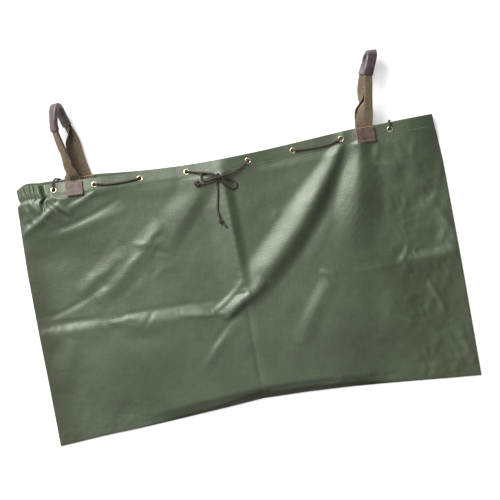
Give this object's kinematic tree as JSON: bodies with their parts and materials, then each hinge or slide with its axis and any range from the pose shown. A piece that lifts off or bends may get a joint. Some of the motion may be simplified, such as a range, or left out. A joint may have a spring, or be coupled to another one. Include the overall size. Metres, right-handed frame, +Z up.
{
  "type": "game transport sack",
  "caption": "Wide flat canvas transport sack with a hemmed mouth laced by a drawcord through brass eyelets, and webbing handles with leather grips.",
  "frame": {"origin": "on the surface the sack lies on, under the middle of its cloth", "axes": "+X along the width of the sack, +Y towards the mouth and its handles, +Z up from the surface it lies on"},
  "size_m": [1.0131, 0.8017, 0.0554],
  "materials": {
    "canvas": "coated canvas, matt with a faint sheen, creased",
    "webbing": "plain woven cotton webbing",
    "patch_leather": "oiled brown leather with raw tan edges",
    "grip_leather": "dark brown leather, creased, semi-gloss",
    "brass": "dull polished brass",
    "cord": "braided cord"
  },
  "bodies": {
    "root": {"panel_front": "canvas", "panel_back": "canvas", "webbing_left": "webbing", "webbing_right": "webbing", "grip_left": "grip_leather", "grip_right": "grip_leather", "patch_left_front_outer": "patch_leather", "patch_left_front_inner": "patch_leather", "patch_left_back_outer": "patch_leather", "patch_left_back_inner": "patch_leather", "patch_right_front_outer": "patch_leather", "patch_right_front_inner": "patch_leather", "patch_right_back_outer": "patch_leather", "patch_right_back_inner": "patch_leather", "eyelet_front_1": "brass", "eyelet_front_2": "brass", "eyelet_front_3": "brass", "eyelet_front_4": "brass", "eyelet_front_5": "brass", "eyelet_front_6": "brass", "eyelet_front_7": "brass", "eyelet_front_8": "brass", "eyelet_back_1": "brass", "eyelet_back_2": "brass", "eyelet_back_3": "brass", "eyelet_back_4": "brass", "eyelet_back_5": "brass", "eyelet_back_6": "brass", "eyelet_back_7": "brass", "eyelet_back_8": "brass", "drawcord": "cord", "bow_knot": "cord", "bow_loop_left": "cord", "bow_loop_right": "cord", "cord_end_left": "cord", "cord_end_right": "cord", "cord_tail": "cord", "end_knot_left": "cord", "end_knot_right": "cord"}
  },
  "joints": []
}
